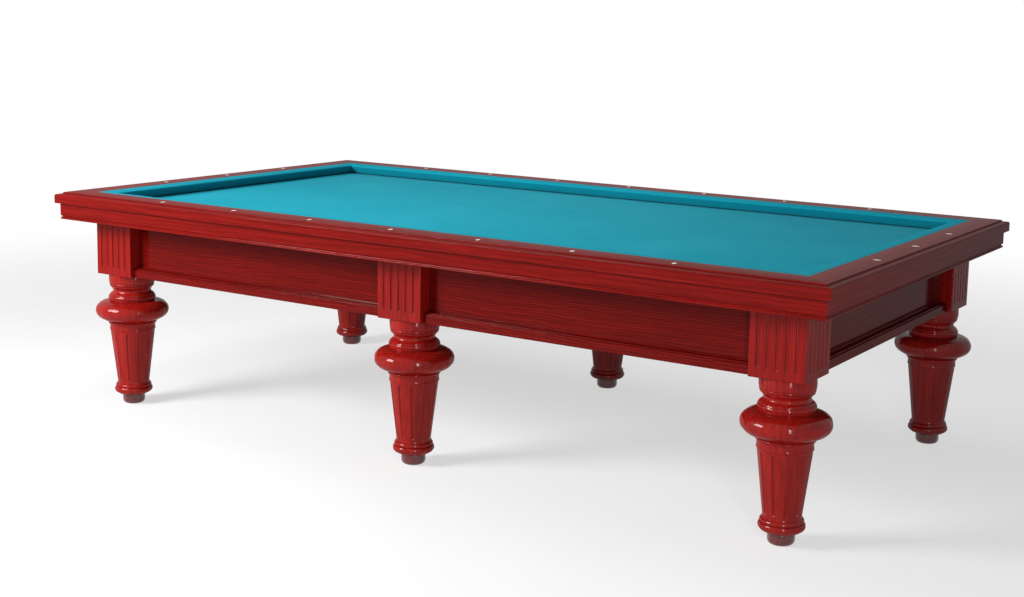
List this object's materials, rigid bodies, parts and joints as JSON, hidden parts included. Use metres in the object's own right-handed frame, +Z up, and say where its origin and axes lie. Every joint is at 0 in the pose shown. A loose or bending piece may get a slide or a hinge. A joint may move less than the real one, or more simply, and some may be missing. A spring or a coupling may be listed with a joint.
{
  "type": "carom billiard table",
  "caption": "Pocketless billiard table in glossy mahogany with a teal cloth, turned and fluted legs, grooved posts, a panelled apron and diamond-marked rails.",
  "frame": {"origin": "on the floor, under the middle of the table", "axes": "+X along the table, +Y across it, +Z up"},
  "size_m": [3.174, 1.754, 0.84],
  "materials": {
    "mahogany": "red mahogany under glossy lacquer, fine grain along each board",
    "foot_wood": "dark lacquered wood",
    "frame_wood": "bare softwood, hidden under the table",
    "steel": "plain steel",
    "rubber": "natural rubber, hidden by the cloth",
    "cloth": "fine worsted wool, teal blue, matt",
    "slate": "honed grey slate, hidden by the cloth"
  },
  "bodies": {
    "table": {"leg_front_left": "mahogany", "post_front_left": "mahogany", "leg_front_middle": "mahogany", "post_front_middle": "mahogany", "leg_front_right": "mahogany", "post_front_right": "mahogany", "leg_back_left": "mahogany", "post_back_left": "mahogany", "leg_back_middle": "mahogany", "post_back_middle": "mahogany", "leg_back_right": "mahogany", "post_back_right": "mahogany", "side_beam_front": "frame_wood", "side_beam_back": "frame_wood", "cross_beam_left": "frame_wood", "cross_beam_joint_left": "frame_wood", "cross_beam_middle": "frame_wood", "cross_beam_joint_right": "frame_wood", "cross_beam_right": "frame_wood", "apron_front_left": "mahogany", "apron_front_right": "mahogany", "apron_back_left": "mahogany", "apron_back_right": "mahogany", "apron_right": "mahogany", "apron_left": "mahogany", "rail_front": "mahogany", "rubber_front": "rubber", "cushion_cloth_front": "cloth", "fascia_front": "mahogany", "rail_right": "mahogany", "rubber_right": "rubber", "cushion_cloth_right": "cloth", "fascia_right": "mahogany", "rail_back": "mahogany", "rubber_back": "rubber", "cushion_cloth_back": "cloth", "fascia_back": "mahogany", "rail_left": "mahogany", "rubber_left": "rubber", "cushion_cloth_left": "cloth", "fascia_left": "mahogany", "slate_1": "slate", "slate_2": "slate", "slate_3": "slate", "bed_cloth": "cloth"},
    "spindle_front_left": {"spindle_front_left": "steel"},
    "foot_front_left": {"foot_front_left": "foot_wood"},
    "spindle_front_middle": {"spindle_front_middle": "steel"},
    "foot_front_middle": {"foot_front_middle": "foot_wood"},
    "spindle_front_right": {"spindle_front_right": "steel"},
    "foot_front_right": {"foot_front_right": "foot_wood"},
    "spindle_back_left": {"spindle_back_left": "steel"},
    "foot_back_left": {"foot_back_left": "foot_wood"},
    "spindle_back_middle": {"spindle_back_middle": "steel"},
    "foot_back_middle": {"foot_back_middle": "foot_wood"},
    "spindle_back_right": {"spindle_back_right": "steel"},
    "foot_back_right": {"foot_back_right": "foot_wood"}
  },
  "joints": [
    {"name": "spindle_turn_front_left", "type": "hinge", "parent": "table", "child": "spindle_front_left", "pos_m": [-1.3865, -0.6765, 0.08], "axis": [0, 0, 1], "range_deg": [-3600, 0]},
    {"name": "foot_swivel_front_left", "type": "hinge", "parent": "spindle_front_left", "child": "foot_front_left", "pos_m": [-1.3865, -0.6765, 0.02], "axis": [0, 0, 1], "continuous": true},
    {"name": "spindle_turn_front_middle", "type": "hinge", "parent": "table", "child": "spindle_front_middle", "pos_m": [0, -0.6765, 0.08], "axis": [0, 0, 1], "range_deg": [-3600, 0]},
    {"name": "foot_swivel_front_middle", "type": "hinge", "parent": "spindle_front_middle", "child": "foot_front_middle", "pos_m": [0, -0.6765, 0.02], "axis": [0, 0, 1], "continuous": true},
    {"name": "spindle_turn_front_right", "type": "hinge", "parent": "table", "child": "spindle_front_right", "pos_m": [1.3865, -0.6765, 0.08], "axis": [0, 0, 1], "range_deg": [-3600, 0]},
    {"name": "foot_swivel_front_right", "type": "hinge", "parent": "spindle_front_right", "child": "foot_front_right", "pos_m": [1.3865, -0.6765, 0.02], "axis": [0, 0, 1], "continuous": true},
    {"name": "spindle_turn_back_left", "type": "hinge", "parent": "table", "child": "spindle_back_left", "pos_m": [-1.3865, 0.6765, 0.08], "axis": [0, 0, 1], "range_deg": [-3600, 0]},
    {"name": "foot_swivel_back_left", "type": "hinge", "parent": "spindle_back_left", "child": "foot_back_left", "pos_m": [-1.3865, 0.6765, 0.02], "axis": [0, 0, 1], "continuous": true},
    {"name": "spindle_turn_back_middle", "type": "hinge", "parent": "table", "child": "spindle_back_middle", "pos_m": [0, 0.6765, 0.08], "axis": [0, 0, 1], "range_deg": [-3600, 0]},
    {"name": "foot_swivel_back_middle", "type": "hinge", "parent": "spindle_back_middle", "child": "foot_back_middle", "pos_m": [0, 0.6765, 0.02], "axis": [0, 0, 1], "continuous": true},
    {"name": "spindle_turn_back_right", "type": "hinge", "parent": "table", "child": "spindle_back_right", "pos_m": [1.3865, 0.6765, 0.08], "axis": [0, 0, 1], "range_deg": [-3600, 0]},
    {"name": "foot_swivel_back_right", "type": "hinge", "parent": "spindle_back_right", "child": "foot_back_right", "pos_m": [1.3865, 0.6765, 0.02], "axis": [0, 0, 1], "continuous": true}
  ]
}
